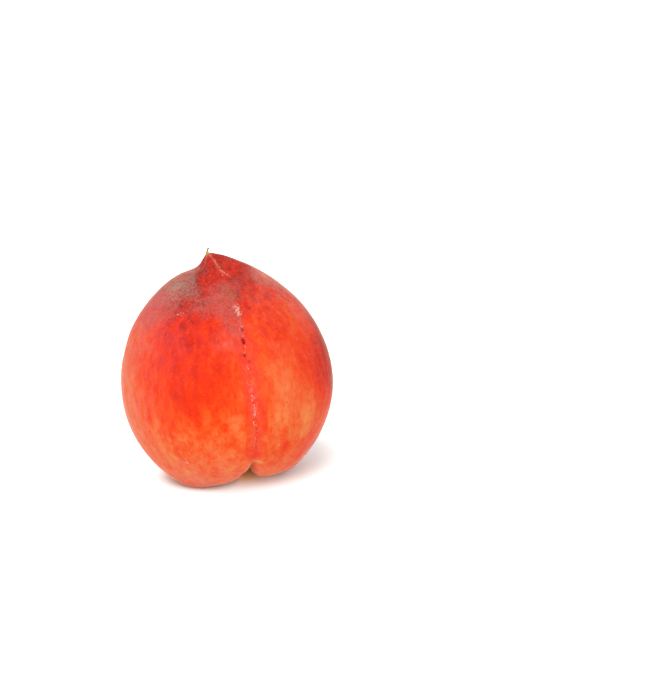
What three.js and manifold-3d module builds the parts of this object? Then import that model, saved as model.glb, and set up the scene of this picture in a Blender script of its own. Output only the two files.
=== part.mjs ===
// A whole ripe peach that stands on its stem end with its beak up.
// Millimetres, +Z up, front towards -Y. The origin is the middle of the bounding box, on the ground.
//
// The skin is worked out in the fruit's own frame: +Z runs from the stem cavity to the beak, "polar" is the
// angle down from the beak, and "turn" is the angle round that axis, 0 on the suture and growing to the right.

import * as THREE from 'three';
import Module from 'manifold-3d';
import { mergeVertices } from 'three/addons/utils/BufferGeometryUtils.js';

const { degToRad, smoothstep } = THREE.MathUtils;

// ---- driving dimensions ------------------------------------------------------------------------------------

// Flesh: a ball whose radius grows and shrinks with polar angle
const MEAN_RADIUS = 37.3;
const DEPTH_OVER_WIDTH = 0.975;
const EGG = 0.074; // fuller towards the beak
const STRETCH = 0.024; // taller than it is wide
const LOW_CHEEKS = 0.016; // sloping upper sides over full lower ones
const SLOPES = 0.004; // flatter between the middle and both ends
const RIGHT_HIGH = 0.003; // the right cheek is fuller above the middle, the left one below it
const RIGHT_MIDDLE = 0.0075; // the right cheek is fuller at the middle, the left one above and below
const BACK_BELLY = { swell: 0.05, polar: 128, spread: 26 }; // the lower back is fuller than the front
const LUMPS = [
  { count: 2, size: 0.006, phase: 0.9 },
  { count: 3, size: 0.004, phase: -0.5 },
];

// Stem end: a round cavity inside a ring of shoulders, two of which hang lower and carry the fruit
const CAVITY_DEPTH = 13;
const CAVITY_RADIUS = 10;
const HEEL = { drop: 4.2, x: 14.5, y: 4.5, radius: 14.5 };
const LEFT_LOBE = { drop: 1.85, x: -19.4, y: -5, radius: 9 };
const REST_FLAT = 0.6; // how far the flesh is pressed flat where it stands

// Suture: a shallow crease that turns into a deep notch at the stem end
const SUTURE_SHALLOW = 0.7;
const SUTURE_DEEP = 9;
const SUTURE_DEEPENS = [116, 176]; // polar angles
const SUTURE_LEFT_WALL = 2.8; // how far each wall reaches from the bottom line
const SUTURE_RIGHT_WALL = 1.8;
const SUTURE_ROUNDING = 0.9; // radius of the bottom line
const SUTURE_DRIFT_TOP = 6.9; // degrees of turn, at the beak
const SUTURE_DRIFT_BASE = -3.4; // degrees of turn, at the stem end

// Beak: a cone whose foot lies at its own distance from the tip on each side
const BEAK_HEIGHT = 5.3;
const BEAK_FOOT = { left: 2.8, right: 13.6, front: 16, back: 9 };
const BEAK_CREASE = 0.11; // how soft the bend at the foot is on the left
const BEAK_FADE = 0.49; // and on the other sides
const BEAK_TIP_RADIUS = 0.6;

// Stance
const SUTURE_TURN = 14.9; // the suture faces the front, a little to the right
const LEAN_LEFT = 7.75;
const LEAN_BACK = 4;

// Small dry pieces
const FIT_GAP = 0.3;
const STUB_LENGTH = 6;
const STUB_RADIUS = 1.5;
const STYLE_LENGTH = 1.5;
const STYLE_RADIUS = 0.35;

// Facets
const COLUMNS = 72;
const ROWS = 58;
const SUTURE_CROWDING = 0.6; // how much closer the columns stand at the suture
const POLE_CROWDING = 0.35; // how much closer the rows stand at the beak and the stem end

const COLOURS = { skin: 0xe8502f, stub: 0x3b2719, style: 0x7a6a3a };

// ---- the skin ----------------------------------------------------------------------------------------------

// Rises from 0 to 1 between two polar angles in degrees
const rise = (from, to, polar) => smoothstep(polar, degToRad(from), degToRad(to));
const softRamp = (value, softness) => (value + Math.hypot(value, softness)) / 2;
const bell = (dx, dy, radius) => Math.exp(-(dx * dx + dy * dy) / (radius * radius));

// Radius of the flesh before its cavity, suture and beak are formed
function fleshRadius(polar, turn) {
  const across = turn + degToRad(SUTURE_TURN);
  const right = Math.sin(across);
  const back = Math.max(0, -Math.cos(across));
  const girth = Math.sin(polar) ** 2;

  let growth = EGG * Math.cos(polar) + STRETCH * Math.cos(2 * polar);
  growth += LOW_CHEEKS * Math.cos(3 * polar) + SLOPES * Math.cos(4 * polar);
  growth += right * (RIGHT_HIGH * Math.sin(2 * polar) - RIGHT_MIDDLE * Math.sin(3 * polar));
  for (const { count, size, phase } of LUMPS) {
    growth += girth * size * Math.cos(count * turn + phase);
  }
  const belly = (polar - degToRad(BACK_BELLY.polar)) / degToRad(BACK_BELLY.spread);
  growth += BACK_BELLY.swell * back ** 2 * Math.exp(-(belly ** 2));
  return MEAN_RADIUS * (1 + growth);
}

// Stem cavity and the two shoulders that hang lower
function shapeStemEnd(point, polar) {
  const lowerHalf = smoothstep(-Math.cos(polar), -0.25, 0.25);
  let lift = CAVITY_DEPTH * bell(point.x, point.y, CAVITY_RADIUS);
  for (const { drop, x, y, radius } of [HEEL, LEFT_LOBE]) {
    lift -= drop * bell(point.x - x, point.y - y, radius);
  }
  point.z += lowerHalf * lift;
}

// Turn of the suture's bottom line at a polar angle
function sutureTurn(polar) {
  const top = 1 - rise(10, 80, polar);
  const base = rise(95, 150, polar);
  return degToRad(SUTURE_DRIFT_TOP * top + SUTURE_DRIFT_BASE * base);
}

// Presses the suture in towards the middle of the fruit
function shapeSuture(point, polar, turn) {
  const away = THREE.MathUtils.euclideanModulo(turn - sutureTurn(polar) + Math.PI, 2 * Math.PI) - Math.PI;
  const fromAxis = Math.hypot(point.x, point.y);
  const sideways = away * fromAxis;
  const wall = sideways < 0 ? SUTURE_LEFT_WALL : SUTURE_RIGHT_WALL;
  const fromValley = Math.hypot(sideways, SUTURE_ROUNDING) - SUTURE_ROUNDING;
  const frontOnly = Math.exp(-((away / 1.2) ** 4));
  const profile = Math.exp(-fromValley / wall) * frontOnly;

  const shallow = SUTURE_SHALLOW * rise(15, 50, polar);
  const extra = (SUTURE_DEEP - SUTURE_SHALLOW) * rise(...SUTURE_DEEPENS, polar);
  const fadeInCavity = smoothstep(fromAxis, 2, 11);
  point.setLength(point.length() - (shallow + extra) * profile * fadeInCavity);
}

// Draws the top up into the beak
function shapeBeak(point, polar, turn) {
  const right = Math.sin(turn);
  const front = Math.cos(turn);
  const footX = right < 0 ? BEAK_FOOT.left : BEAK_FOOT.right;
  const footY = front > 0 ? BEAK_FOOT.front : BEAK_FOOT.back;
  const foot = 1 / Math.hypot(right / footX, front / footY);
  const creased = Math.max(0, -right) ** 2;
  const softness = BEAK_CREASE * creased + BEAK_FADE * (1 - creased);
  const fromTip = Math.hypot(point.x, point.y, BEAK_TIP_RADIUS);
  const upperHalf = smoothstep(Math.cos(polar), 0, 0.4);
  point.z += upperHalf * BEAK_HEIGHT * softRamp(1 - fromTip / foot, softness);
}

const standing = new THREE.Matrix4().makeRotationFromEuler(
  new THREE.Euler(degToRad(-LEAN_BACK), degToRad(-LEAN_LEFT), degToRad(SUTURE_TURN), 'XYZ'),
);

// A point of the skin, on the standing fruit
function skinPoint(polar, turn) {
  const radius = fleshRadius(polar, turn);
  const out = radius * Math.sin(polar);
  const x = out * Math.sin(turn);
  const y = -out * Math.cos(turn) * DEPTH_OVER_WIDTH;
  const point = new THREE.Vector3(x, y, radius * Math.cos(polar));
  shapeStemEnd(point, polar);
  shapeSuture(point, polar, turn);
  shapeBeak(point, polar, turn);
  return point.applyMatrix4(standing);
}

// A closed surface of rings between the two poles
function skinGeometry() {
  const points = [];
  const ringStart = (row) => 1 + (row - 1) * COLUMNS;
  points.push(skinPoint(0, 0));
  for (let row = 1; row < ROWS; row++) {
    const even = (Math.PI * row) / ROWS;
    const polar = even - POLE_CROWDING * Math.sin(2 * even);
    for (let column = 0; column < COLUMNS; column++) {
      const round = (2 * Math.PI * column) / COLUMNS - Math.PI;
      points.push(skinPoint(polar, round - SUTURE_CROWDING * Math.sin(round)));
    }
  }
  points.push(skinPoint(Math.PI, 0));

  const faces = [];
  const last = points.length - 1;
  for (let column = 0; column < COLUMNS; column++) {
    const next = (column + 1) % COLUMNS;
    faces.push(0, ringStart(1) + column, ringStart(1) + next);
    faces.push(last, ringStart(ROWS - 1) + next, ringStart(ROWS - 1) + column);
    for (let row = 1; row < ROWS - 1; row++) {
      const a = ringStart(row) + column;
      const b = ringStart(row) + next;
      const c = ringStart(row + 1) + next;
      const d = ringStart(row + 1) + column;
      faces.push(a, d, c, a, c, b);
    }
  }
  const geometry = new THREE.BufferGeometry().setFromPoints(points);
  geometry.setIndex(faces);
  return geometry;
}

// ---- cutting -----------------------------------------------------------------------------------------------

const wasm = await Module();
wasm.setup();

function toSolid(geometry) {
  const bare = geometry.clone();
  bare.deleteAttribute('normal');
  bare.deleteAttribute('uv');
  const merged = mergeVertices(bare);
  const vertProperties = new Float32Array(merged.attributes.position.array);
  const triVerts = new Uint32Array(merged.index.array);
  return new wasm.Manifold(new wasm.Mesh({ numProp: 3, vertProperties, triVerts }));
}

function toGeometry(solid) {
  const mesh = solid.getMesh();
  const geometry = new THREE.BufferGeometry();
  geometry.setAttribute('position', new THREE.BufferAttribute(mesh.vertProperties, 3));
  geometry.setIndex(new THREE.BufferAttribute(mesh.triVerts, 1));
  return geometry;
}

// Cuts away what lies under the ground
function pressFlat(geometry) {
  const side = 4 * MEAN_RADIUS;
  const ground = new THREE.BoxGeometry(side, side, side).translate(0, 0, -side / 2);
  return toGeometry(toSolid(geometry).subtract(toSolid(ground)));
}

// ---- the pieces --------------------------------------------------------------------------------------------

function dryMaterial(color) {
  return new THREE.MeshStandardMaterial({ color, roughness: 0.9, metalness: 0 });
}

// Flesh and skin in one solid, standing on the ground
function peachBody() {
  const geometry = skinGeometry();
  geometry.computeBoundingBox();
  const raised = -geometry.boundingBox.min.z - REST_FLAT;
  geometry.translate(0, 0, raised);
  const material = new THREE.MeshStandardMaterial({ color: COLOURS.skin, roughness: 0.75, metalness: 0 });
  const mesh = new THREE.Mesh(pressFlat(geometry), material);
  mesh.name = 'peach_body';
  return { mesh, raised };
}

// A pole of the skin, with the way out of the flesh there, square to the skin round it
function pole(polar, raised) {
  const at = skinPoint(polar, 0);
  at.z += raised;
  const step = 0.02;
  const nearby = (turn) => skinPoint(Math.abs(polar - step), turn);
  const sideways = nearby(Math.PI / 2).sub(nearby(-Math.PI / 2));
  const backwards = nearby(Math.PI).sub(nearby(0));
  const out = sideways.cross(backwards).normalize().multiplyScalar(Math.sign(Math.cos(polar)));
  return { at, out };
}

// Turns a lathed piece, which grows along +Y, to grow along a direction from a point
function plant(mesh, at, along) {
  mesh.quaternion.setFromUnitVectors(new THREE.Vector3(0, 1, 0), along);
  mesh.position.copy(at);
}

// The woody end of the stem, left in the cavity when the fruit was picked
function stemStub(raised) {
  const { at, out } = pole(Math.PI, raised);
  const profile = [
    [0, 0],
    [0.5, 0],
    [1, 0.15],
    [0.86, 0.45],
    [0.95, 0.78],
    [1.2, 0.95],
    [0.9, 1],
    [0, 0.9],
  ].map(([radius, height]) => new THREE.Vector2(radius * STUB_RADIUS, height * STUB_LENGTH));
  const mesh = new THREE.Mesh(new THREE.LatheGeometry(profile, 14), dryMaterial(COLOURS.stub));
  mesh.name = 'stem_stub';
  plant(mesh, at.clone().addScaledVector(out, FIT_GAP), out);
  return mesh;
}

// The dried thread that ends the beak, nearly upright
function driedStyle(raised) {
  const { at } = pole(0, raised);
  const up = new THREE.Vector3(0.12, 0, 1).normalize();
  const profile = [
    [0, 0],
    [1, 0],
    [0.8, 0.35],
    [0.75, 0.8],
    [0.4, 1],
    [0, 1],
  ].map(([radius, height]) => new THREE.Vector2(radius * STYLE_RADIUS, height * STYLE_LENGTH));
  const mesh = new THREE.Mesh(new THREE.LatheGeometry(profile, 8), dryMaterial(COLOURS.style));
  mesh.name = 'dried_style';
  plant(mesh, at.clone().addScaledVector(up, FIT_GAP), up);
  return mesh;
}

const peach = new THREE.Group();
const body = peachBody();
peach.add(body.mesh, stemStub(body.raised), driedStyle(body.raised));

// Moves the middle of the bounding box over the origin
peach.updateMatrixWorld(true);
const middle = new THREE.Box3().setFromObject(peach, true).getCenter(new THREE.Vector3());
peach.position.set(-middle.x, -middle.y, 0);

export default peach;
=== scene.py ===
"""A whole ripe peach that stands on its stem end with its beak up: its skin, stem end and dried style.

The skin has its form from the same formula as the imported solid, on a much finer grid and with fine relief.
It is worked out in the fruit's own frame: +Z runs from the stem cavity to the beak, "polar" is the angle down
from the beak, and "turn" is the angle round that axis, 0 on the suture and growing to the right.
Shapes are worked out in millimetres and put into Blender in metres.
"""

import math

import bpy
import numpy as np
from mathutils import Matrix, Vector, noise


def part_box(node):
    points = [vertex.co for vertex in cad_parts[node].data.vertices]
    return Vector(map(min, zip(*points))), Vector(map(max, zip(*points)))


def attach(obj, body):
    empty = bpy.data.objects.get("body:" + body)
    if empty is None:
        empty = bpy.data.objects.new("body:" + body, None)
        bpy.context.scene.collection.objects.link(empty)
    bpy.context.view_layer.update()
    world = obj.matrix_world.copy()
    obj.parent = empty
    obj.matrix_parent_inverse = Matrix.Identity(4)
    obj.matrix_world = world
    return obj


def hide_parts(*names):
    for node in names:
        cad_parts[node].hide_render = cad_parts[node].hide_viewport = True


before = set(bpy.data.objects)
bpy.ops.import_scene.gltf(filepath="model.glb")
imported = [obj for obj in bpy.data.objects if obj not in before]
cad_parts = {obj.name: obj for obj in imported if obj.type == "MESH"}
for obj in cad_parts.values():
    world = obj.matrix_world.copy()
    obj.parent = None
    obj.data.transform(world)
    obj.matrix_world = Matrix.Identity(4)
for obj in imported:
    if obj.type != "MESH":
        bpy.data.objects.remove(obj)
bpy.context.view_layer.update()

BODY = "root"
METRES = 0.001  # in a millimetre

# ---- driving dimensions of the fruit, in millimetres and degrees -------------------------------------------

# Flesh: a ball whose radius grows and shrinks with polar angle, by these shares
MEAN_RADIUS = 37.3
DEPTH_OVER_WIDTH = 0.975
EGG = 0.074  # fuller towards the beak
STRETCH = 0.024  # taller than it is wide
LOW_CHEEKS = 0.016  # sloping upper sides over full lower ones
SLOPES = 0.004  # flatter between the middle and both ends
RIGHT_HIGH = 0.003  # the right cheek is fuller above the middle, the left one below it
RIGHT_MIDDLE = 0.0075  # the right cheek is fuller at the middle, the left one above and below
BACK_BELLY = dict(swell=0.05, polar=128, spread=26)  # the lower back is fuller than the front
LUMPS = [dict(count=2, size=0.006, phase=0.9), dict(count=3, size=0.004, phase=-0.5)]

# Stem end: a round cavity inside a ring of shoulders, two of which hang lower and carry the fruit
CAVITY_DEPTH = 13
CAVITY_RADIUS = 10
HEEL = dict(drop=4.2, x=14.5, y=4.5, radius=14.5)
LEFT_LOBE = dict(drop=1.85, x=-19.4, y=-5, radius=9)
REST_FLAT = 0.6  # how far the flesh is pressed flat where it stands

# Suture: a shallow crease that turns into a deep notch at the stem end
SUTURE_SHALLOW = 0.7
SUTURE_DEEP = 9
SUTURE_STARTS = (15, 50)  # polar angles
SUTURE_DEEPENS = (116, 176)
SUTURE_LEFT_WALL = 2.8  # how far each wall reaches from the bottom line
SUTURE_RIGHT_WALL = 1.8
SUTURE_ROUNDING = 0.9  # radius of the bottom line
SUTURE_WIDEST = 1.2  # radians of turn, beyond which the skin knows no suture
SUTURE_DRIFT_TOP = 6.9  # degrees of turn, at the beak
SUTURE_DRIFT_BASE = -3.4  # and at the stem end

# Beak: a cone whose foot lies at its own distance from the tip on each side
BEAK_HEIGHT = 5.3
BEAK_FOOT = dict(left=2.8, right=13.6, front=16, back=9)
BEAK_CREASE = 0.11  # how soft the bend at the foot is on the left
BEAK_FADE = 0.49  # and on the other sides
BEAK_TIP_RADIUS = 0.6

# Stance
SUTURE_TURN = 14.9  # the suture faces the front, a little to the right
LEAN_LEFT = 7.75
LEAN_BACK = 4

# Small dry pieces
STUB_LENGTH = 6
STUB_RADIUS = 1.5
STYLE_LENGTH = 1.5
STYLE_RADIUS = 0.35

# Grid of the skin
COLUMNS = 340
ROWS = 272
SUTURE_CROWDING = 0.55  # how much closer the columns stand at the suture
POLE_CROWDING = 0.2  # how much closer the rows stand at the beak and the stem end


# ---- the form of the skin ----------------------------------------------------------------------------------

def smoothstep(value, low, high):
    """Rises from 0 at low to 1 at high."""
    share = np.clip((value - low) / (high - low), 0, 1)
    return share * share * (3 - 2 * share)


def rise(low, high, polar):
    """Rises from 0 to 1 between two polar angles in degrees."""
    return smoothstep(np.degrees(polar), low, high)


def bell(dx, dy, radius):
    """A round mask, 1 in its middle."""
    return np.exp(-(dx * dx + dy * dy) / radius**2)


def ridge(away, width):
    """A mask along a line, from the distance to the line."""
    return np.exp(-((away / width) ** 2))


def soft_ramp(value, softness):
    """The value where it is above 0, and 0 below, with a soft bend between."""
    return (value + np.hypot(value, softness)) / 2


def flesh_radius(polar, turn):
    """Radius of the flesh before its cavity, suture and beak are formed."""
    across = turn + math.radians(SUTURE_TURN)
    right = np.sin(across)
    back = np.maximum(0, -np.cos(across))
    girth = np.sin(polar) ** 2
    growth = EGG * np.cos(polar) + STRETCH * np.cos(2 * polar)
    growth = growth + LOW_CHEEKS * np.cos(3 * polar) + SLOPES * np.cos(4 * polar)
    growth = growth + right * (RIGHT_HIGH * np.sin(2 * polar) - RIGHT_MIDDLE * np.sin(3 * polar))
    for lump in LUMPS:
        growth = growth + girth * lump["size"] * np.cos(lump["count"] * turn + lump["phase"])
    belly = (np.degrees(polar) - BACK_BELLY["polar"]) / BACK_BELLY["spread"]
    growth = growth + BACK_BELLY["swell"] * back**2 * np.exp(-(belly**2))
    return MEAN_RADIUS * (1 + growth)


def suture_turn(polar):
    """Turn of the suture's bottom line at a polar angle."""
    top = 1 - rise(10, 80, polar)
    base = rise(95, 150, polar)
    return np.radians(SUTURE_DRIFT_TOP * top + SUTURE_DRIFT_BASE * base)


def from_suture(polar, turn, from_axis):
    """How far a point is right of the suture's bottom line, in radians of turn and in millimetres."""
    away = np.mod(turn - suture_turn(polar) + np.pi, 2 * np.pi) - np.pi
    return away, away * from_axis


def beak_reach(x, y, turn):
    """Distance from the beak's tip, as a share of the way to its foot, and how creased the foot is there."""
    right = np.sin(turn)
    front = np.cos(turn)
    foot_x = np.where(right < 0, BEAK_FOOT["left"], BEAK_FOOT["right"])
    foot_y = np.where(front > 0, BEAK_FOOT["front"], BEAK_FOOT["back"])
    foot = 1 / np.hypot(right / foot_x, front / foot_y)
    from_tip = np.sqrt(x * x + y * y + BEAK_TIP_RADIUS**2)
    return from_tip / foot, np.maximum(0, -right) ** 2


def formed(polar, turn):
    """Points of the skin in the fruit's own frame, before its relief."""
    radius = flesh_radius(polar, turn)
    out = radius * np.sin(polar)
    x = out * np.sin(turn)
    y = -out * np.cos(turn) * DEPTH_OVER_WIDTH
    z = radius * np.cos(polar)

    # Stem end, on the lower half only
    lift = CAVITY_DEPTH * bell(x, y, CAVITY_RADIUS)
    for low in (HEEL, LEFT_LOBE):
        lift = lift - low["drop"] * bell(x - low["x"], y - low["y"], low["radius"])
    z = z + smoothstep(-np.cos(polar), -0.25, 0.25) * lift

    # Suture, which runs out before the axis and is cut towards the middle
    from_axis = np.hypot(x, y)
    away, sideways = from_suture(polar, turn, from_axis)
    wall = np.where(sideways < 0, SUTURE_LEFT_WALL, SUTURE_RIGHT_WALL)
    from_valley = np.hypot(sideways, SUTURE_ROUNDING) - SUTURE_ROUNDING
    profile = np.exp(-from_valley / wall) * np.exp(-((away / SUTURE_WIDEST) ** 4))
    depth = SUTURE_SHALLOW * rise(*SUTURE_STARTS, polar)
    depth = depth + (SUTURE_DEEP - SUTURE_SHALLOW) * rise(*SUTURE_DEEPENS, polar)
    length = np.sqrt(x * x + y * y + z * z)
    shrink = 1 - depth * profile * smoothstep(from_axis, 2, 11) / length
    x, y, z = x * shrink, y * shrink, z * shrink

    # Beak, on the upper half only
    reach, creased = beak_reach(x, y, turn)
    softness = BEAK_CREASE * creased + BEAK_FADE * (1 - creased)
    z = z + smoothstep(np.cos(polar), 0, 0.4) * BEAK_HEIGHT * soft_ramp(1 - reach, softness)
    return np.stack([x, y, z], axis=-1)


def turned(axis, degrees):
    """The matrix that turns points about one axis."""
    c, s = math.cos(math.radians(degrees)), math.sin(math.radians(degrees))
    rows = {"X": [[1, 0, 0], [0, c, -s], [0, s, c]], "Y": [[c, 0, s], [0, 1, 0], [-s, 0, c]]}
    rows["Z"] = [[c, -s, 0], [s, c, 0], [0, 0, 1]]
    return np.array(rows[axis])


STANDING = turned("X", -LEAN_BACK) @ turned("Y", -LEAN_LEFT) @ turned("Z", SUTURE_TURN)


# ---- the grid ----------------------------------------------------------------------------------------------

def grid_angles():
    """Polar angle and turn of each point, pole to pole, with the poles as the first and last point."""
    even = np.pi * np.arange(1, ROWS) / ROWS
    polar = even - POLE_CROWDING * np.sin(2 * even)
    around = 2 * np.pi * np.arange(COLUMNS) / COLUMNS - np.pi
    turn = around - SUTURE_CROWDING * np.sin(around)
    polar, turn = (a.ravel() for a in np.meshgrid(polar, turn, indexing="ij"))
    return np.concatenate([[0], polar, [np.pi]]), np.concatenate([[0], turn, [0]])


def grid_faces():
    """Triangles at the poles and quads between the rings, facing out."""
    last = 1 + (ROWS - 1) * COLUMNS
    faces = []
    for column in range(COLUMNS):
        after = (column + 1) % COLUMNS
        faces.append((0, 1 + column, 1 + after))
        for row in range(ROWS - 2):
            a = 1 + row * COLUMNS
            b = a + COLUMNS
            faces.append((a + column, b + column, b + after, a + after))
        faces.append((last, last - COLUMNS + after, last - COLUMNS + column))
    return faces


def noise_at(points, size, seed=0):
    """Smooth noise of about -1 to 1 with features of that size in millimetres."""
    shift = Vector((17.3, -4.1, 9.7)) * seed
    return np.array([noise.noise(Vector(p) / size + shift) for p in points])


# ---- relief ------------------------------------------------------------------------------------------------

# Places on the skin are given as polar angle and turn, and reach as the same two, all in degrees. Each has an
# amount: a height or depth in millimetres, or how strongly it is painted.
PITS = [
    dict(at=(49.5, 3.2), amount=0.3),
    dict(at=(55.6, 1.6), amount=0.6),
    dict(at=(62.8, 0.2), amount=0.35),
    dict(at=(66.5, 1.9), amount=0.25),
]
PIT_RADIUS = math.degrees(0.7 / MEAN_RADIUS)
RIGHT_SHOULDER = dict(at=(18, 80), reach=(17, 50), amount=0.45)  # of the beak
LEFT_SHOULDER = dict(at=(17, -120), reach=(8, 35), amount=0.4)
LEFT_CREASE = dict(at=(7.5, -122), reach=(3, 35), amount=-0.4)
LOBE_SOLE = dict(at=(147, -58), reach=(11, 18), amount=-0.55)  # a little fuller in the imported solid
FOLD = ((-4.1, 2.5), (-8.4, -13.5))  # runs down from the beak's left crease, from above, in millimetres
CREASE_AT = 0.3  # millimetres right of the suture's bottom line, where its sharp end runs
LIP_AT = -1.3
SIDE_FOLD_POLAR = 126  # of the short fold that leaves the suture's end to the right
STREAK_ENDS = (16, 23)  # polar angles at which the pale line down the beak fades
STREAK_VEER = 2.2  # millimetres to the right at its foot


def spot(polar, turn, place, reach=None):
    """A soft oval mask round a place on the skin."""
    down, sideways = reach or place["reach"]
    down = (np.degrees(polar) - place["at"][0]) / down
    sideways = (np.mod(np.degrees(turn) - place["at"][1] + 180, 360) - 180) / sideways
    return np.exp(-(down**2) - sideways**2)


def spots(polar, turn, places, reach=None):
    """The sum of some places' spots, each as strong as its amount."""
    return sum(place["amount"] * spot(polar, turn, place, reach) for place in places)


def beside_fold(x, y, polar):
    """How far a point is to the right of the fold, and a mask for the stretch that the fold runs along."""
    (x0, y0), (x1, y1) = FOLD
    long = math.hypot(x1 - x0, y1 - y0)
    ahead = ((x - x0) * (x1 - x0) + (y - y0) * (y1 - y0)) / long
    right = ((x - x0) * (y0 - y1) + (y - y0) * (x1 - x0)) / long
    stretch = smoothstep(ahead, -2, 1) * (1 - smoothstep(ahead, long - 5, long + 1))
    return right, stretch * (1 - rise(60, 80, polar))


# Corky clusters along the suture, between two polar angles, with how far they reach to each side
CLUSTERS = [
    dict(polar=(16, 20), side=0.3, thick=0.6, flakes=3, length=1.0),
    dict(polar=(26, 32), side=1.3, thick=0.55, flakes=10, length=0.5),
    dict(polar=(35.5, 42.5), side=1.1, thick=1.15, flakes=26, length=1.0),
    dict(polar=(43.5, 49), side=0.6, thick=0.75, flakes=6, length=0.7),
    dict(polar=(52.4, 53.6), side=0.5, thick=0.7, flakes=3, length=0.8),
    dict(polar=(57.4, 59.2), side=0.4, thick=0.8, flakes=4, length=0.8),
    dict(polar=(60, 62.3), side=0.5, thick=1.0, flakes=6, length=0.9),
    dict(polar=(68, 72.5), side=0.8, thick=0.8, flakes=8, length=0.8),
    dict(polar=(76.5, 82), side=0.9, thick=0.6, flakes=6, length=0.6),
    dict(polar=(83, 87), side=0.6, thick=0.7, flakes=7, length=1.1),
    dict(polar=(89, 95), side=0.4, thick=0.8, flakes=9, length=1.2),
    dict(polar=(97, 101), side=0.5, thick=0.7, flakes=6, length=1.1),
    dict(polar=(103, 113), side=0.4, thick=0.5, flakes=6, length=0.8),
]
CORK_SPREAD = 1.4  # how much wider a cluster's corky ground is than its flakes
# Scuffs away from the suture
SCUFFS = [dict(at=(37, -43), reach=(2, 7), amount=0.9), dict(at=(119, -47), reach=(3, 4), amount=0.9)]


def pits(polar, turn):
    """A mask for the small pits in the suture, as deep as each is."""
    return spots(polar, turn, PITS, (1.5 * PIT_RADIUS, PIT_RADIUS))


def corkiness(polar, turn, sideways):
    """A mask for the corky clusters and the scuffs."""
    mask = spots(polar, turn, SCUFFS)
    for cluster in CLUSTERS:
        low, high = cluster["polar"]
        along = rise(low - 1, low + 1, polar) * (1 - rise(high - 1, high + 1, polar))
        corky = cluster["thick"] * along * ridge(sideways, CORK_SPREAD * cluster["side"])
        mask = np.maximum(mask, corky)
    return mask


def from_streak(polar, sideways):
    """How far a point is from the pale line that runs down the beak and veers right at its foot."""
    return sideways - STREAK_VEER * rise(14, 22, polar)


def side_fold(polar, sideways, down, width):
    """A mask along the short fold that leaves the suture's end to the right, or that far down from it."""
    stretch = smoothstep(sideways, -0.3, 0.5) * (1 - smoothstep(sideways, 2.2, 4))
    return ridge(np.degrees(polar) - SIDE_FOLD_POLAR - down, width) * stretch


def relief(points, polar, turn):
    """Height of the fine relief above the formed skin, in millimetres."""
    x, y = points[:, 0], points[:, 1]
    from_axis = np.hypot(x, y)
    _, sideways = from_suture(polar, turn, from_axis)
    height = 0.16 * noise_at(points, 9) + 0.05 * noise_at(points, 3.5, seed=1)

    # Scarred strip along the suture, with its pits
    strip = ridge(sideways, 1.3) * rise(24, 34, polar) * (1 - rise(112, 122, polar))
    height += strip * (0.14 * noise_at(points, 1.1, seed=2) - 0.04)
    height -= pits(polar, turn)

    # Shallow creases that run into the stem cavity
    mouth = ridge(from_axis - 8, 6) * rise(120, 140, polar)
    height += 0.22 * mouth * np.cos(13 * turn + 2.5 * noise_at(points, 9, seed=3))

    # Sharp crease that ends the suture, with the left half's lip beside it and the short fold on its right
    height += 0.4 * rise(118, 132, polar) * ridge(sideways - LIP_AT, 0.8)
    height -= 1.4 * rise(122, 140, polar) * ridge(sideways - CREASE_AT, 0.7)
    height -= 0.3 * side_fold(polar, sideways, 0, 0.9)

    # The beak's shoulders and crease, and the left lobe where it stands
    height += spots(polar, turn, [RIGHT_SHOULDER]) * rise(1, 7, polar)
    height += spots(polar, turn, [LEFT_SHOULDER, LEFT_CREASE, LOBE_SOLE])

    # The line that runs down from the beak's tip, and the fold on its left
    streak = ridge(from_streak(polar, sideways), 0.5) * rise(1, 4, polar) * (1 - rise(*STREAK_ENDS, polar))
    right, beside = beside_fold(x, y, polar)
    fold = beside * smoothstep(right, -0.5, 0.4) * ridge(right, 3) * rise(3, 6, polar)
    return height + 0.2 * streak + 0.12 * fold


# ---- painting ----------------------------------------------------------------------------------------------

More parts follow.
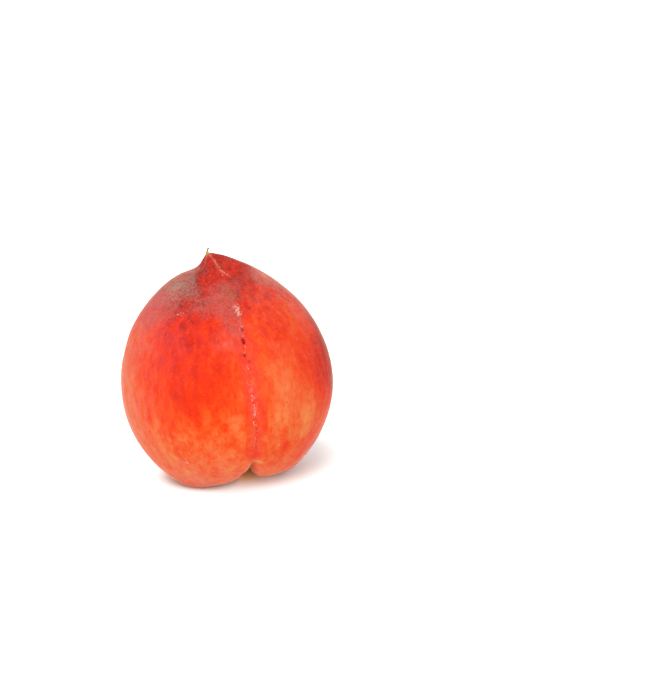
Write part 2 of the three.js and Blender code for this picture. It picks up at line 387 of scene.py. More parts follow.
# Blush runs from 0, yellow ground colour, through orange and red to 1, dark maroon. These add to it.
DARKEST_BLUSH = 0.87
BLUSH_SPOTS = [
    dict(at=(14, -8), reach=(12, 40), amount=0.01),  # crimson beak
    dict(at=(7, -60), reach=(8, 60), amount=0.08),  # its darker left edge
    dict(at=(24, -60), reach=(15, 50), amount=0.04),  # crimson under the bloom
    dict(at=(33, -42), reach=(7, 18), amount=0.06),  # and where it shows through
    dict(at=(36, 22), reach=(10, 16), amount=0.04),  # red by the suture's top
    dict(at=(34, 36), reach=(13, 26), amount=0.03),  # crimson right shoulder
    dict(at=(75, -40), reach=(60, 40), amount=0.04),  # left half
    dict(at=(52, -48), reach=(13, 34), amount=0.03),  # crimson under the bloom's edge
    dict(at=(80, -34), reach=(17, 13), amount=0.05),  # bright red cheek
    dict(at=(78, -88), reach=(40, 28), amount=-0.18),  # paler left flank
    dict(at=(118, -40), reach=(22, 45), amount=-0.05),  # orange lobe
    dict(at=(94, -15), reach=(18, 8), amount=-0.10),  # orange by the suture
    dict(at=(88, 14), reach=(28, 10), amount=-0.13),  # orange bands right of it
    dict(at=(102, 32), reach=(18, 8), amount=-0.16),
    dict(at=(111, 28), reach=(8, 8), amount=-0.06),
    dict(at=(54, 30), reach=(9, 9), amount=0.03),  # bright red shoulder
    dict(at=(82, 47), reach=(14, 7), amount=0.10),  # red beside the bands
    dict(at=(78, 84), reach=(38, 24), amount=0.20),  # maroon right flank, partly painted shade of a neighbouring fruit
    # darkest at the right edge, as painted shade of a neighbouring fruit
    dict(at=(84, 74), reach=(26, 17), amount=0.30),
    dict(at=(57, 54), reach=(13, 14), amount=-0.07),  # lighter above it
    dict(at=(119, 18), reach=(7, 2.0), amount=0.12),  # short streak above the notch
    dict(at=(122, 38), reach=(12, 20), amount=0.13),  # pinkish red low on the right
    dict(at=(113, -2), reach=(9, 6), amount=0.10),  # reddish end of the suture
    dict(at=(125, 8), reach=(10, 12), amount=0.07),
    dict(at=(90, 0), reach=(16, 5), amount=0.06),  # red along the suture's middle
    dict(at=(50, -28), reach=(10, 22), amount=0.03),  # crimson under the bloom's edge
    dict(at=(46, 44), reach=(12, 30), amount=-0.04),
    dict(at=(74, -54), reach=(10, 10), amount=0.06),  # crimson on the left cheek
    dict(at=(110, -38), reach=(8, 26), amount=0.03),
]
# Where the bloom of the top ends, as turn and polar angle, both in degrees
BLOOM_EDGE = [
    (-180, 52), (-110, 54), (-80, 49), (-64, 45), (-42, 37), (-26, 40), (-10, 45), (-3, 54),
    (3, 56), (8, 34), (30, 24), (60, 36), (75, 48), (90, 50), (110, 48), (180, 52),
]
GREY_BLOOM = dict(at=(20, -72), reach=(14, 46))
PALE_SPOTS = [  # bloom away from the top
    dict(at=(132, 56), reach=(10, 14), amount=0.55),
    dict(at=(38, 22), reach=(14, 20), amount=0.2),
]
BARE_SPOT = dict(at=(32, -40), reach=(5, 14))  # crimson that shows through the bloom
# Pale veil of down, partly painted sheen along the rims and painted light from the floor low on the left
# lobe, and the rose-coloured patches
VEIL_AND_SHEEN_SPOTS = [
    dict(at=(90, -95), reach=(42, 32), amount=0.57),
    dict(at=(149, -42), reach=(25, 60), amount=0.52),
    dict(at=(72, 22), reach=(30, 28), amount=0.1),
    dict(at=(122, 60), reach=(20, 22), amount=0.35),
    dict(at=(26, 66), reach=(12, 24), amount=0.65),
    dict(at=(50, 58), reach=(14, 14), amount=0.3),
    dict(at=(46, -78), reach=(14, 20), amount=0.2),
    dict(at=(54, -9), reach=(6, 8), amount=0.3),
    dict(at=(31, -9), reach=(6, 10), amount=0.12),
    dict(at=(36, 26), reach=(12, 22), amount=0.12),
    dict(at=(16, -125), reach=(14, 22), amount=0.75),
    dict(at=(28, 88), reach=(22, 15), amount=0.5),
    dict(at=(56, 82), reach=(13, 12), amount=0.3),
]
ROSE_SPOTS = [dict(at=(52, -56), reach=(20, 30), amount=0.45), dict(at=(31, -82), reach=(8, 18), amount=0.6)]
BROWN_CORK = dict(at=(29, 3.5), reach=(4.5, 5))
CREAM_RADIUS = 1.15  # of the pale ring under the style, in millimetres


def blush_of(points, polar, turn):
    """Redder at the top and the back, yellow in the stem cavity, and uneven where no photo shows it."""
    back = ((1 - np.cos(turn + math.radians(20))) / 2) ** 2
    hidden = smoothstep(-np.cos(turn), 0, 0.7) * np.sin(polar)
    blush = 0.77 - 0.12 * rise(20, 50, polar) - 0.04 * rise(50, 75, polar) - 0.12 * rise(85, 115, polar)
    blush = blush - 0.40 * rise(152, 176, polar) + 0.16 * back * (1 - rise(130, 160, polar))
    blush = blush + 0.14 * hidden * noise_at(points, 16, seed=4) + spots(polar, turn, BLUSH_SPOTS)
    return DARKEST_BLUSH - soft_ramp(DARKEST_BLUSH - blush, 0.04)


def on_beak(points, turn, uneven=0):
    """A mask for the beak, whose edge can be made uneven."""
    reach, _ = beak_reach(points[:, 0], points[:, 1], turn)
    return 1 - smoothstep(reach + uneven, 0.8, 1.2)


def bloom_of(points, polar, turn):
    """How thick the bloom is, and how grey. It is thin on the beak right of the fold, down to the suture."""
    down = np.degrees(polar)
    across = np.degrees(turn)
    uneven = noise_at(points, 4, seed=6)
    right, _ = beside_fold(points[:, 0], points[:, 1], polar)
    front = smoothstep(across, -150, -95) * (1 - smoothstep(across, 35, 70))
    bare = front * smoothstep(right + uneven, -1.2, 1.6) * (1 - smoothstep(down + 10 * uneven, 14, 32))
    bare = np.maximum(bare, on_beak(points, turn, 0.2 * uneven))

    # Its edge is more uneven and softer at the back
    behind = smoothstep(-np.cos(turn), -0.3, 0.5)
    edge = np.interp(across, *zip(*BLOOM_EDGE)) + 12 * noise_at(points, 11, seed=5) * behind
    inside = 1 - smoothstep(down + 3 * uneven, edge - 6 - 16 * behind, edge + 5 + 8 * behind)
    thick = 0.8 * inside * (1 - 0.62 * bare)
    for place in PALE_SPOTS:
        thick = np.maximum(thick, spots(polar, turn, [place]))
    grey = spot(polar, turn, GREY_BLOOM) * (1 - bare)
    thick = np.maximum(thick, grey) * (1 - 0.45 * spot(polar, turn, BARE_SPOT))
    return thick, grey


# ---- shader nodes ------------------------------------------------------------------------------------------

STUDIO_BRIGHTNESS = 1.85  # how much brighter the light on the front is than white needs


def colour(red, green, blue):
    """An sRGB colour of 0 to 255 as Blender's linear one."""
    shares = [c / 255 for c in (red, green, blue)]
    return [s / 12.92 if s <= 0.04045 else ((s + 0.055) / 1.055) ** 2.4 for s in shares] + [1]


def lit(red, green, blue):
    """The true colour of what looks like this sRGB colour in the studio's light."""
    return [c / STUDIO_BRIGHTNESS for c in colour(red, green, blue)[:3]] + [1]


class Shader:
    """Builds one material's node tree. Every method gives back an output to feed to the next."""

    def __init__(self, name):
        self.material = bpy.data.materials.new(name)
        self.material.use_nodes = True
        self.tree = self.material.node_tree
        self.surface = self.tree.nodes["Principled BSDF"]
        self.attributes = {}

    def add(self, kind, inputs, output=0, **settings):
        """A node with those inputs, by name or number, and settings."""
        made = self.tree.nodes.new("ShaderNode" + kind)
        for key, value in settings.items():
            setattr(made, key, value)
        for key, value in inputs.items():
            self.feed(made.inputs[key], value)
        return made.outputs[output]

    def feed(self, socket, value):
        if isinstance(value, bpy.types.NodeSocket):
            self.tree.links.new(value, socket)
        else:
            socket.default_value = value

    def attribute(self, name, output="Fac"):
        """A number, or a vector, that the mesh stores for each vertex."""
        if name not in self.attributes:
            self.attributes[name] = self.add("Attribute", {}, output, attribute_name=name)
        return self.attributes[name]

    def maths(self, operation, a, b=0.0):
        return self.add("Math", {0: a, 1: b}, operation=operation)

    def times(self, first, *others):
        for other in others:
            first = self.maths("MULTIPLY", first, other)
        return first

    def plus(self, first, *others):
        for other in others:
            first = self.maths("ADD", first, other)
        return first

    def less(self, first, other):
        return self.maths("SUBTRACT", first, other)

    def range(self, value, low, high, to_low=0.0, to_high=1.0):
        """Runs smoothly from to_low to to_high as the value runs from low to high."""
        inputs = {0: value, 1: low, 2: high, 3: to_low, 4: to_high}
        return self.add("MapRange", inputs, interpolation_type="SMOOTHSTEP")

    def noise(self, place, size, detail=2.0, roughness=0.5):
        inputs = {"Vector": place, "Scale": 1 / size, "Detail": detail, "Roughness": roughness}
        return self.add("TexNoise", inputs, "Fac")

    def wave(self, place, size, strength, detail=2.0, roughness=0.5):
        """Noise about 0."""
        return self.times(self.less(self.noise(place, size, detail, roughness), 0.5), strength)

    def shifted(self, place):
        """The same place elsewhere in a pattern, for one that doesn't line up with another."""
        return self.add("VectorMath", {0: place, 1: (31.0, 17.0, 5.0)})

    def dots(self, place, spacing, size, share):
        """Round dots, in that share of the cells of an uneven net."""
        cells = self.add("TexVoronoi", {"Vector": place, "Scale": 1 / spacing}).node
        inside = self.range(cells.outputs["Distance"], 0.6 * size / spacing, size / spacing, 1.0, 0.0)
        chance = self.add("SeparateColor", {0: cells.outputs["Color"]})
        return self.times(inside, self.maths("LESS_THAN", chance, share))

    def mix(self, share, a, b):
        """Colour a, with that share of colour b."""
        return self.add("Mix", {0: share, 6: a, 7: b}, 2, data_type="RGBA")

    def ramp(self, value, stops):
        out = self.add("ValToRGB", {0: value})
        elements = out.node.color_ramp.elements
        for place, _ in stops[:-2]:
            elements.new(place)
        for element, (place, shade) in zip(elements, stops):
            element.position = place
            element.color = shade
        return out

    def finish(self, **inputs):
        """Sets the surface's inputs and gives back the material."""
        for name, value in inputs.items():
            self.feed(self.surface.inputs[name.replace("_", " ")], value)
        return self.material


# ---- materials ---------------------------------------------------------------------------------------------

# Colour of the flesh as its blush deepens
BLUSH_COLOURS = [
    (0.00, lit(252, 205, 60)),
    (0.20, lit(252, 162, 68)),
    (0.40, lit(252, 124, 66)),
    (0.54, lit(251, 87, 24)),
    (0.66, lit(251, 56, 5)),
    (0.78, lit(222, 41, 20)),
    (0.90, lit(172, 34, 24)),
    (1.00, lit(114, 24, 17)),
]


def blushed(s):
    """Flesh in clouds and streaks along the fruit, blotches and a fine grain, with red spots and freckles."""
    place = s.attribute("place", "Vector")
    along = s.attribute("streak_place", "Vector")
    polar = s.attribute("polar_angle")
    calm = s.maths("MAXIMUM", s.range(polar, 42.0, 72.0, 1.0, 0.6), s.range(polar, 86.0, 104.0, 0.6, 1.0))
    clouds = s.times(s.wave(along, 7.0, 0.34), s.range(polar, 40.0, 100.0, 0.5, 1.0))
    streaks = s.times(s.wave(along, 2.6, 0.28), calm)
    blotches = s.times(s.wave(place, 2.4, 0.29), calm)
    grain = s.times(s.wave(place, 0.75, 0.24), s.range(polar, 32.0, 60.0, 1.0, 0.5))
    patches = s.times(s.dots(s.shifted(place), 6.5, 1.9, 0.3), 0.05)
    mottle = s.plus(s.wave(along, 1.0, 0.18), clouds, streaks, blotches, grain, patches)
    mottle = s.times(mottle, s.range(polar, 18.0, 42.0, 0.8, 1.0))
    blush = s.plus(s.attribute("blush"), s.times(s.attribute("bloom"), 0.08), mottle)
    flesh = s.ramp(blush, BLUSH_COLOURS)

    red_spots = s.times(s.dots(place, 3.6, 0.42, 0.2), s.range(polar, 40.0, 56.0, 0.0, 0.55))
    flesh = s.mix(red_spots, flesh, lit(206, 34, 22))
    freckles = s.times(s.dots(place, 3.4, 0.35, 0.3), s.range(polar, 90.0, 115.0), 0.45)
    return s.mix(freckles, flesh, lit(255, 190, 140))


def bloomed(s, flesh):
    """Bloom in patches and grains, pink where it is thin and grey where it is thick, under two veils: a pale
    one that is partly painted sheen and painted light from below, and a rose one.
    """
    place = s.attribute("place", "Vector")
    along = s.attribute("streak_place", "Vector")
    bloom = s.attribute("bloom")
    patches = s.times(s.wave(place, 4.5, 0.5), s.range(bloom, 0.0, 0.3))
    thin = s.times(s.less(1.0, s.plus(bloom, patches)), 0.45)
    grain = s.less(s.noise(place, 0.8, 2.0, 0.8), thin)
    cover = s.times(s.range(grain, 0.12, 0.7, 0.0, 0.95), s.range(bloom, 0.0, 0.2))
    dust = s.mix(s.attribute("grey_bloom"), lit(198, 100, 93), lit(184, 156, 141))
    flesh = s.mix(cover, flesh, dust)

    # Pale veil: the down's own colour, with painted sheen on the rims and painted light from below
    uneven = s.range(s.noise(along, 2.2, 3.0, 0.7), 0.34, 0.66, 0.35, 1.3)
    flesh = s.mix(s.times(s.attribute("veil_and_sheen"), uneven), flesh, lit(250, 146, 128))
    uneven = s.range(s.noise(s.shifted(along), 3.0, 3.0, 0.7), 0.34, 0.66, 0.2, 0.9)
    return s.mix(s.times(s.attribute("rose"), uneven), flesh, lit(232, 80, 88))


def away_from(s, line):
    """Distance in millimetres from a line down the front, far away at the back."""
    return s.plus(s.maths("ABSOLUTE", s.attribute(line)), s.times(s.attribute("behind"), 10.0))


def with_suture(s, flesh):
    """The pink strip along the suture, its red bottom line, partly painted shade in the groove, and its pale
    veins.
    """
    place = s.attribute("place", "Vector")
    along = s.attribute("streak_place", "Vector")
    polar = s.attribute("polar_angle")
    from_valley = away_from(s, "from_suture")
    patchy = s.range(s.noise(place, 1.3, 3.0), 0.35, 0.65, 0.05, 0.45)
    middle = s.times(s.range(polar, 38.0, 55.0), s.range(polar, 112.0, 128.0, 1.0, 0.0))
    flesh = s.mix(s.times(s.range(from_valley, 0.8, 4.4, 1.0, 0.0), patchy, middle), flesh, lit(243, 80, 78))

    # Deeper red along the groove's bottom: partly the suture's own red, partly painted shade
    broken = s.range(s.noise(along, 1.1, 2.0), 0.42, 0.6)
    line = s.times(s.range(from_valley, 0.1, 0.5, 0.6, 0.0), broken, s.range(polar, 60.0, 76.0))
    flesh = s.mix(line, flesh, lit(232, 40, 24))

    veins = s.range(s.maths("ABSOLUTE", s.wave(s.shifted(along), 1.3, 1.0, 3.0, 0.7)), 0.0, 0.03, 0.7, 0.0)
    broken = s.range(s.noise(place, 2.6, 1.0), 0.38, 0.56)
    middle = s.times(s.range(polar, 62.0, 78.0), s.range(polar, 104.0, 118.0, 1.0, 0.0))
    veins = s.times(veins, s.range(from_valley, 0.3, 2.0, 1.0, 0.0), broken, middle)
    return s.mix(veins, flesh, lit(252, 156, 142))


def corky_flecks(s, place, size, low, high):
    """Ragged flecks of about that size, which stand closer where the skin is corkier."""
    ragged = s.noise(place, size, 2.0, 0.7)
    sparse = s.times(s.less(1.0, s.attribute("corkiness")), 0.3)
    return s.range(s.less(ragged, sparse), low, high)


def with_cork(s, flesh, flecks):
    """Brown and pale cork along the suture with dark cracks, the crease that ends it, olive partly from the
    skin's own colour and partly as painted shade, a painted highlight on the pale lip beside it, and its
    pits, dark partly as painted shade.
    """
    place = s.attribute("place", "Vector")
    along = s.attribute("streak_place", "Vector")
    specks = s.range(s.noise(place, 0.8, 3.0, 0.7), 0.35, 0.62, 0.2, 0.8)
    flesh = s.mix(s.times(s.attribute("brown_cork"), specks), flesh, lit(168, 112, 84))
    # Olive in the crease that ends the suture: partly the skin's greenish-yellow, partly painted shade
    flesh = s.mix(s.attribute("crease"), flesh, lit(190, 120, 40))
    # Pale lip beside the crease and below the short fold: painted highlight on its raised edge
    flesh = s.mix(s.attribute("lip"), flesh, lit(254, 184, 128))
    cracks = s.times(corky_flecks(s, s.shifted(along), 0.45, 0.52, 0.6), 0.6)
    flesh = s.mix(cracks, flesh, lit(190, 40, 34))
    flesh = s.mix(s.times(flecks, 0.85), flesh, lit(262, 194, 176))
    # Dark red in the pits: partly their own colour, partly painted shade
    return s.mix(s.range(s.attribute("pits"), 0.08, 0.35), flesh, lit(176, 20, 20))


def with_beak(s, flesh):
    """The pale streak from the tip of the beak, the fold beside it with painted shade along its foot, and the
    pale ring under the style.
    """
    place = s.attribute("place", "Vector")
    polar = s.attribute("polar_angle")
    beside = away_from(s, "from_streak")
    frayed = s.range(s.noise(place, 0.9, 3.0, 0.8), 0.4, 0.6, 0.1, 0.8)
    streak = s.times(s.range(beside, 0.1, 0.65, 1.0, 0.0), frayed)
    crumbs = s.range(s.noise(place, 0.5, 2.0, 0.7), 0.53, 0.62)
    crumbs = s.times(crumbs, s.range(beside, 0.3, 1.7, 1.0, 0.0), s.range(polar, 9.0, 15.0, 0.0, 0.6))
    streak = s.times(s.maths("MAXIMUM", streak, crumbs), s.range(polar, 17.0, 23.0, 1.0, 0.0))
    flesh = s.mix(streak, flesh, lit(250, 146, 122))
    # Darker along the fold's foot: painted shade
    flesh = s.mix(s.times(s.attribute("fold"), 0.4), flesh, lit(140, 56, 40))
    return s.mix(s.attribute("cream"), flesh, lit(258, 222, 130))


def skin_material():
    """Peach skin: blush, bloom, the marks on the suture and the beak, and a velvety sheen."""
    s = Shader("peach_skin")
    place = s.attribute("place", "Vector")
    flecks = corky_flecks(s, s.attribute("streak_place", "Vector"), 0.5, 0.5, 0.58)
    flecks = s.times(flecks, s.range(s.attribute("corkiness"), 0.0, 0.2))
    flesh = bloomed(s, blushed(s))
    flesh = with_beak(s, with_cork(s, with_suture(s, flesh), flecks))
    fuzz = s.plus(s.noise(place, 0.45, 2.0, 0.7), s.times(flecks, 0.7))
    bump = s.add("Bump", {"Strength": 0.2, "Distance": 0.0002, "Height": fuzz})
    return s.finish(Base_Color=flesh, Roughness=0.7, Specular_IOR_Level=0.05, Sheen_Weight=0.45,
                    Sheen_Roughness=0.2, Sheen_Tint=colour(255, 228, 210), Normal=bump)


def dry_material(name, pale, dark, size, tip=None):
    """Grained dry plant tissue, which may have a tip of another colour."""
    s = Shader(name)
    place = s.attribute("place", "Vector")
    grain = s.noise(place, size, 4.0, 0.7)
    shade = s.ramp(grain, [(0.35, dark), (0.65, pale)])
    if tip:
        shade = s.mix(s.range(s.attribute("height"), 0.25, 0.75), shade, tip)
    bump = s.add("Bump", {"Strength": 0.6, "Distance": 0.0001, "Height": grain})
    return s.finish(Base_Color=shade, Roughness=0.9, Specular_IOR_Level=0.15, Normal=bump)


def fuzz_material():
    """Hairs that are paler where they stand high on the fruit, painted light for the pale glow of the down
    along its upper rim.
    """
    s = Shader("fuzz_hairs")
    high = s.range(s.attribute("height"), 24.0, 66.0)
    return s.finish(Base_Color=s.mix(high, lit(255, 172, 132), lit(254, 218, 184)), Roughness=0.6,
                    Specular_IOR_Level=0.1)


# ---- pieces ------------------------------------------------------------------------------------------------

def store(mesh, name, values):
    """Keeps a number or a vector for each vertex, for the materials to read."""
    values = np.asarray(values, np.float32)
    kind, field = ("FLOAT_VECTOR", "vector") if values.ndim == 2 else ("FLOAT", "value")
    mesh.attributes.new(name, kind, "POINT").data.foreach_set(field, values.ravel())


def piece(name, points, faces, material, slot, *nodes):
    """A smooth mesh in place of those CAD nodes, from points in millimetres in the row frame."""
    mesh = bpy.data.meshes.new(name)
    mesh.from_pydata((np.asarray(points) * METRES).tolist(), [], faces)
    mesh.shade_smooth()
    mesh.materials.append(material)
    made = bpy.data.objects.new(name, mesh)
    bpy.context.scene.collection.objects.link(made)
    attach(made, BODY)
    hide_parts(*nodes)
    return made


def box_middle(node):
    """The middle of a CAD node's box, in millimetres."""
    low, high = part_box(node)
    return np.array((low + high) / 2) / METRES


def peach_skin():
    """The skin, and where the fruit's own frame has its origin in the row frame."""
    polar, turn = grid_angles()
    points = formed(polar, turn)
    smooth = points @ STANDING.T
    origin = box_middle("peach_body") - (smooth.min(axis=0) + smooth.max(axis=0)) / 2
    origin[2] = -smooth[:, 2].min() - REST_FLAT
    outward = points / np.linalg.norm(points, axis=1, keepdims=True)
    shaped = points + outward * relief(points, polar, turn)[:, None]
    placed = shaped @ STANDING.T + origin
    placed[:, 2] = np.maximum(placed[:, 2], 0)
    made = piece("peach_skin", placed, grid_faces(), skin_material(), "skin", "peach_body")

    # What the skin's material reads
    x, y = points[:, 0], points[:, 1]
    away, sideways = from_suture(polar, turn, np.hypot(x, y))
    right, beside = beside_fold(x, y, polar)
    bloom, grey = bloom_of(points, polar, turn)
    lip = 0.35 * rise(122, 132, polar) * ridge(sideways + 1.5, 0.6)
    painted = {
        "place": points,
        "streak_place": np.stack([x, y, 0.35 * MEAN_RADIUS * polar], axis=-1),
        "from_suture": np.clip(sideways, -6, 6),
        "from_streak": np.clip(from_streak(polar, sideways), -6, 6),
        "behind": smoothstep(np.abs(away), 1.2, 2.4),
        "polar_angle": np.degrees(polar),
        "blush": blush_of(points, polar, turn),
        "bloom": bloom,
        "grey_bloom": grey,
        "veil_and_sheen": spots(polar, turn, VEIL_AND_SHEEN_SPOTS) * (1 - on_beak(points, turn)),
        "rose": spots(polar, turn, ROSE_SPOTS),
        # where shade is painted along the fold's foot
        "fold": beside * ridge(right, 0.45),
        "pits": pits(polar, turn),
        "corkiness": corkiness(polar, turn, sideways),
        "brown_cork": spot(polar, turn, BROWN_CORK),
        # Painted shade in the crease, and a painted highlight on the lip beside it and below the short fold
        "crease": 0.7 * rise(138, 150, polar) * ridge(sideways - 0.6, 1.3),
        "lip": np.maximum(lip, 0.45 * side_fold(polar, sideways, 1.5, 1.2)),
        "cream": ridge(np.linalg.norm(points - points[0], axis=1), CREAM_RADIUS),
    }
    for name, values in painted.items():
        store(made.data, name, values)
    return made, origin


def on_skin(polar, turn, origin):
    """A point of the skin in the row frame with its relief, and the way out of the flesh there."""
    step = 0.01  # radians
    polars = polar + step * np.array([0, 1, -1, 0, 0])
    turns = turn + step * np.array([0, 0, 0, 1, -1])
    points = formed(polars, turns)
    out = np.cross(points[1] - points[2], points[3] - points[4])
    out = out / np.linalg.norm(out)
    out = out * np.sign(out @ points[0])
    at = points[0] + out * relief(points, polars, turns)[0]
    return STANDING @ at + origin, STANDING @ out


def frame_of(out, hint):
    """Two directions square to out, the first as near to hint as it can be."""
    first = hint - out * (hint @ out)
    first = first / np.linalg.norm(first)
    return first, np.cross(out, first)


def tube_faces(rings, sides):
    """Faces of a closed tube of that many rings of points, with a point at each end."""
    faces = []
    last = 1 + rings * sides
    for side in range(sides):
        after = (side + 1) % sides
        faces.append((0, 1 + after, 1 + side))
        for ring in range(rings - 1):
            a = 1 + ring * sides
            b = a + sides
            faces.append((a + side, a + after, b + after, b + side))
        faces.append((last, last - sides + side, last - sides + after))
    return faces


def tube(at, out, hint, profile, sides, wobble, bend=0.0):
    """Points and faces of a closed tube that grows along out. The profile has (height, radius) pairs.

    wobble(height, angle) scales the radius, and bend moves the far end towards hint.
    """
    first, second = frame_of(out, hint)
    end = profile[-1][0]

    def centre(height):
        return at + out * height + first * bend * (height / end) ** 2

    points = [centre(profile[0][0])]
    for height, radius in profile:
        for side in range(sides):
            angle = 2 * math.pi * side / sides
            towards = first * math.cos(angle) + second * math.sin(angle)
            points.append(centre(height) + towards * radius * wobble(height, angle))
    points.append(centre(end))
    return np.array(points), tube_faces(len(profile), sides)


NEAR_POLE = 1e-4  # radians
TO_THE_RIGHT = np.array([1.0, 0, 0])


def stem_stub(origin):
    """The fibrous end of the stem, with a torn rim."""
    at, out = on_skin(math.pi - NEAR_POLE, 0.0, origin)
    outline = [(-0.10, 0.62), (0.0, 0.85), (0.08, 1.0), (0.18, 1.0), (0.3, 0.9), (0.45, 0.86), (0.62, 0.88),
               (0.78, 0.95), (0.88, 1.1), (0.94, 1.2), (0.99, 1.14), (1.0, 0.98), (0.96, 0.78), (0.93, 0.5),
               (0.92, 0.2)]
    profile = [(height * STUB_LENGTH, radius * STUB_RADIUS) for height, radius in outline]

    def wobble(height, angle):
        fibres = 0.05 * math.cos(11 * angle + 0.3 * height) + 0.03 * math.cos(17 * angle - 0.5 * height)
        return 1 + fibres + 0.05 * math.cos(3 * angle + 0.4 * height)

    points, faces = tube(at, out, TO_THE_RIGHT, profile, 44, wobble, bend=0.5)
    material = dry_material("stem_bark", colour(96, 66, 40), colour(34, 21, 14), 0.5)
    made = piece("stem_end", points, faces, material, "stem", "stem_stub")
    store(made.data, "place", (points - at) * (1, 1, 0.35))


def dried_style(origin):
    """The thread that ends the beak, a little bent, on its pale foot."""
    at, _ = on_skin(NEAR_POLE, 0.0, origin)
    up = np.array([0.12, 0, 1])
    up = up / np.linalg.norm(up)
    outline = [(-0.4, 1.3), (0.0, 1.25), (0.15, 1.05), (0.35, 0.8), (0.6, 0.7), (0.85, 0.72), (1.0, 0.8),
               (1.08, 0.75), (1.15, 0.4)]
    profile = [(height * STYLE_LENGTH, radius * STYLE_RADIUS) for height, radius in outline]

    def wobble(height, angle):
        return 1 + 0.14 * math.cos(5 * angle + 2 * height) + 0.1 * math.cos(2 * angle - 3 * height)

    points, faces = tube(at, up, TO_THE_RIGHT, profile, 20, wobble, bend=0.25)
    pale, dark, tip = colour(176, 156, 88), colour(112, 98, 54), colour(84, 76, 48)
    material = dry_material("style_thread", pale, dark, 0.3, tip)
    made = piece("style_thread", points, faces, material, "style", "dried_style")
    store(made.data, "place", points - at)
    store(made.data, "height", (points - at) @ up / STYLE_LENGTH)


FLAKE_SEED = 7
FLAKE_SIDES = 8
FLAKE_SUNK = 0.12


def suture_flakes(origin):
    """Raised corky flakes, each an irregular low dome with its rim sunk in the skin."""
    draw = np.random.default_rng(FLAKE_SEED)
    points, faces = [], []
    for cluster in CLUSTERS:
        for _ in range(cluster["flakes"]):
            polar = math.radians(draw.uniform(*cluster["polar"]))
            beside = draw.normal(0, 1) * cluster["side"]
            turn = float(suture_turn(polar)) + beside / (MEAN_RADIUS * math.sin(polar))
            at, out = on_skin(polar, turn, origin)
            slant = np.array([draw.normal(0, 0.6), 0, -1.0])
            long = cluster["length"] * draw.uniform(0.3, 0.6)
            wide = long * draw.uniform(0.15, 0.42)
            jags = draw.uniform(0.6, 1.4, FLAKE_SIDES)

            def wobble(height, angle):
                jag = jags[round(angle * FLAKE_SIDES / (2 * math.pi))]
                return jag / math.hypot(math.cos(angle) / long, math.sin(angle) / wide)

            rim, top = (-FLAKE_SUNK, 1), (draw.uniform(0.03, 0.09), draw.uniform(0.4, 0.7))
            dome, dome_faces = tube(at, out, slant, [rim, top], FLAKE_SIDES, wobble)
            faces += [tuple(len(points) + corner for corner in face) for face in dome_faces]
            points += list(dome)
    material = dry_material("suture_cork", lit(262, 192, 172), lit(244, 136, 114), 0.5)
    made = piece("suture_flakes", points, faces, material, "skin")
    store(made.data, "place", points)


HAIRS = 49_000
HAIR_LENGTH = (0.3, 0.6)
HAIR_RADIUS = 0.013
HAIR_SUNK = 0.05
HAIR_LEAN = 0.45  # each way, as a share of its length
HAIR_DROOP = 0.35
FLOOR_CLEARANCE = dict(root=0.05, tip=0.1)


def skin_fuzz(skin, seed):
    """Short pale hairs all over the skin and clear of the floor, each a closed three-sided spike."""
    draw = np.random.default_rng(seed)

    # Triangles of the skin, and which way each faces
    mesh = skin.data
    mesh.calc_loop_triangles()
    corners = np.zeros(len(mesh.loop_triangles) * 3, int)
    mesh.loop_triangles.foreach_get("vertices", corners)
    corners = corners.reshape(-1, 3)
    places = np.zeros(len(mesh.vertices) * 3)
    mesh.vertices.foreach_get("co", places)
    places = places.reshape(-1, 3) / METRES
    a, b, c = (places[corners[:, i]] for i in range(3))
    square = np.cross(b - a, c - a)
    area = np.linalg.norm(square, axis=1)
    square = square / np.maximum(area, 1e-9)[:, None]

    # Roots spread evenly over the skin's area, and hairs that lean and droop from there
    chosen = draw.choice(len(area), HAIRS, p=area / area.sum())
    u, v = draw.random((2, HAIRS))
    flip = u + v > 1
    u, v = np.where(flip, 1 - u, u)[:, None], np.where(flip, 1 - v, v)[:, None]
    root = a[chosen] + (b - a)[chosen] * u + (c - a)[chosen] * v
    out = square[chosen]
    lean = draw.normal(0, HAIR_LEAN, (HAIRS, 3)) + np.array([0, 0, -HAIR_DROOP])
    along = out + lean - out * (lean * out).sum(axis=1, keepdims=True)
    along = along / np.linalg.norm(along, axis=1, keepdims=True)
    length = draw.uniform(*HAIR_LENGTH, (HAIRS, 1))
    tip = root + along * length
    keep = (tip[:, 2] > FLOOR_CLEARANCE["tip"]) & (root[:, 2] > FLOOR_CLEARANCE["root"])
    root, out, along, tip = root[keep], out[keep], along[keep], tip[keep]

    # A spike for each: its tip and three corners round its root
    first = np.cross(along, draw.normal(0, 1, root.shape))
    first = first / np.linalg.norm(first, axis=1, keepdims=True)
    second = np.cross(along, first)
    spikes = [tip]
    for corner in range(3):
        angle = 2 * math.pi * corner / 3
        towards = first * math.cos(angle) + second * math.sin(angle)
        spikes.append(root - out * HAIR_SUNK + towards * HAIR_RADIUS)
    points = np.stack(spikes, axis=1).reshape(-1, 3)
    starts = np.arange(len(root))[:, None, None] * 4
    faces = (starts + np.array([[0, 1, 2], [0, 2, 3], [0, 3, 1], [1, 3, 2]])).reshape(-1, 3)
    made = piece("skin_fuzz", points, faces.tolist(), fuzz_material(), "skin")
    store(made.data, "height", points[:, 2])


# ---- stage -------------------------------------------------------------------------------------------------

IMAGE_WIDTH, IMAGE_HEIGHT = 650, 700
FRUIT_MIDDLE_PIXEL = (226.8, 384.6)
MM_PER_PIXEL = 0.343  # at the fruit's middle
CAMERA_DISTANCE = 1100
CAMERA_ELEVATION = 18


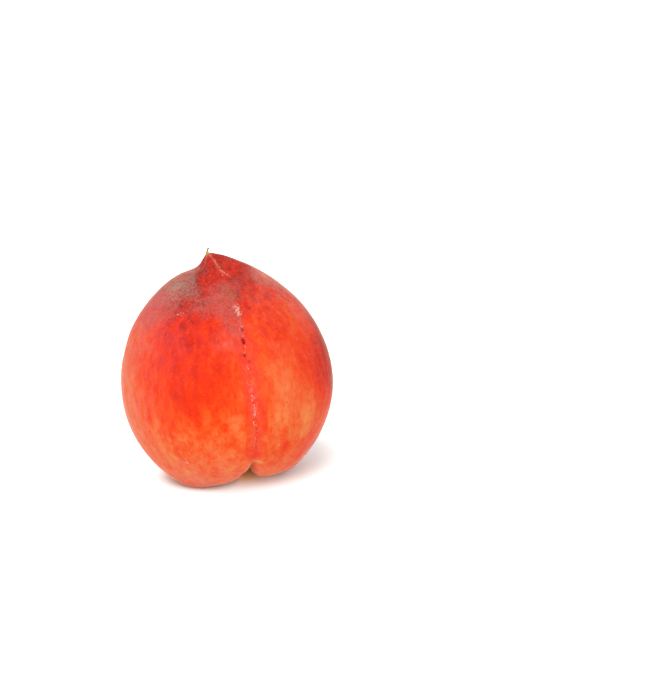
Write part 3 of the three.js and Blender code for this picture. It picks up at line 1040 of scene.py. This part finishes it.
def add_camera(origin):
    """Looks down at the fruit's middle from the front, with it left of and below the picture's middle."""
    data = bpy.data.cameras.new("camera")
    data.sensor_width = 36
    data.lens = data.sensor_width * CAMERA_DISTANCE / (MM_PER_PIXEL * IMAGE_HEIGHT)
    up_angle = math.radians(CAMERA_ELEVATION)
    back = Vector((0, -math.cos(up_angle), math.sin(up_angle)))
    up = Vector((0, math.sin(up_angle), math.cos(up_angle)))
    right = Vector((1, 0, 0))
    fruit = Vector(origin)
    to_right = (IMAGE_WIDTH / 2 - FRUIT_MIDDLE_PIXEL[0]) * MM_PER_PIXEL
    upwards = (FRUIT_MIDDLE_PIXEL[1] - IMAGE_HEIGHT / 2) * MM_PER_PIXEL
    aim = fruit + right * to_right + up * upwards
    camera = bpy.data.objects.new("camera", data)
    camera.location = (fruit + back * CAMERA_DISTANCE) * METRES
    camera.rotation_mode = "QUATERNION"
    camera.rotation_quaternion = (aim - fruit - back * CAMERA_DISTANCE).to_track_quat("-Z", "Y")
    bpy.context.scene.collection.objects.link(camera)
    bpy.context.scene.camera = camera


LIT_PLACE = Vector((0, 0, 0.035))  # the fruit's middle, in metres


def add_light(name, azimuth, elevation, distance, side, power):
    """A square soft light that faces the fruit's middle. Azimuth 0 is the front, and grows to the right."""
    data = bpy.data.lights.new(name, "AREA")
    data.shape = "SQUARE"
    data.size = side
    data.energy = power
    light = bpy.data.objects.new(name, data)
    a, e = math.radians(azimuth), math.radians(elevation)
    towards = Vector((math.sin(a) * math.cos(e), -math.cos(a) * math.cos(e), math.sin(e)))
    light.location = towards * distance + LIT_PLACE
    light.rotation_mode = "QUATERNION"
    light.rotation_quaternion = (-towards).to_track_quat("-Z", "Y")
    light.visible_camera = False
    bpy.context.scene.collection.objects.link(light)


# Places on the floor in metres, round which shade and orange bounce light are painted into its glow
SHADE_MIDDLE = (0.014, 0.024, 0)  # under the back of the fruit
UNDER_LOBE = (-0.009, 0, 0)  # where the left lobe stands
UNDER_NOTCH = (0.005, 0.003, 0)  # below the suture's end, where light comes through the fruit's shade
FLOOR_RADIUS = 5
FLOOR_SIDES = 96
GLOW = 0.55


def add_floor():
    """A wide white disc that glows as a lit table does, with painted shade and bounce light: the glow fades
    where the fruit's shade falls and turns orange near the lobe and the notch.
    """
    angles = 2 * np.pi * np.arange(FLOOR_SIDES) / FLOOR_SIDES
    rim = [(FLOOR_RADIUS * math.cos(a), FLOOR_RADIUS * math.sin(a), 0) for a in angles]
    mesh = bpy.data.meshes.new("floor")
    mesh.from_pydata(rim, [], [tuple(range(FLOOR_SIDES))])
    s = Shader("floor_white")
    here = s.add("NewGeometry", {})
    from_shade, from_lobe, from_notch = (
        s.add("VectorMath", {0: here, 1: foot}, "Value", operation="DISTANCE")
        for foot in (SHADE_MIDDLE, UNDER_LOBE, UNDER_NOTCH))
    # Painted shadow: the glow fades towards the fruit's shade and under the left lobe
    shade_glow = s.range(from_shade, 0.016, 0.040, 0.0, GLOW)
    lobe_glow = s.range(from_lobe, 0.009, 0.0175, 0.0, GLOW)
    # Painted bounce light: orange near the lobe and under the notch, white further out
    away = s.range(s.maths("MINIMUM", from_lobe, from_notch), 0.0, 0.018)
    painted_bounce_tint = s.mix(away, (1.2, 0.35, 0.03, 1), (1, 1, 1, 1))
    mesh.materials.append(s.finish(
        Base_Color=(0.75, 0.79, 0.77, 1), Roughness=0.8, Specular_IOR_Level=0.1, Emission_Color=painted_bounce_tint,
        Emission_Strength=s.maths("MINIMUM", shade_glow, lobe_glow)))
    floor = bpy.data.objects.new("floor", mesh)
    bpy.context.scene.collection.objects.link(floor)


def add_world(strength):
    world = bpy.data.worlds.new("studio")
    world.use_nodes = True
    background = world.node_tree.nodes["Background"]
    background.inputs["Color"].default_value = (1, 1, 1, 1)
    background.inputs["Strength"].default_value = strength
    bpy.context.scene.world = world


skin, origin = peach_skin()
stem_stub(origin)
dried_style(origin)
suture_flakes(origin)
skin_fuzz(skin, seed=3)
add_floor()
add_world(strength=1.25)
add_light("key", azimuth=-12, elevation=44, distance=1.0, side=0.6, power=6.9)
add_camera(origin)
bpy.context.scene.view_settings.view_transform = "Standard"
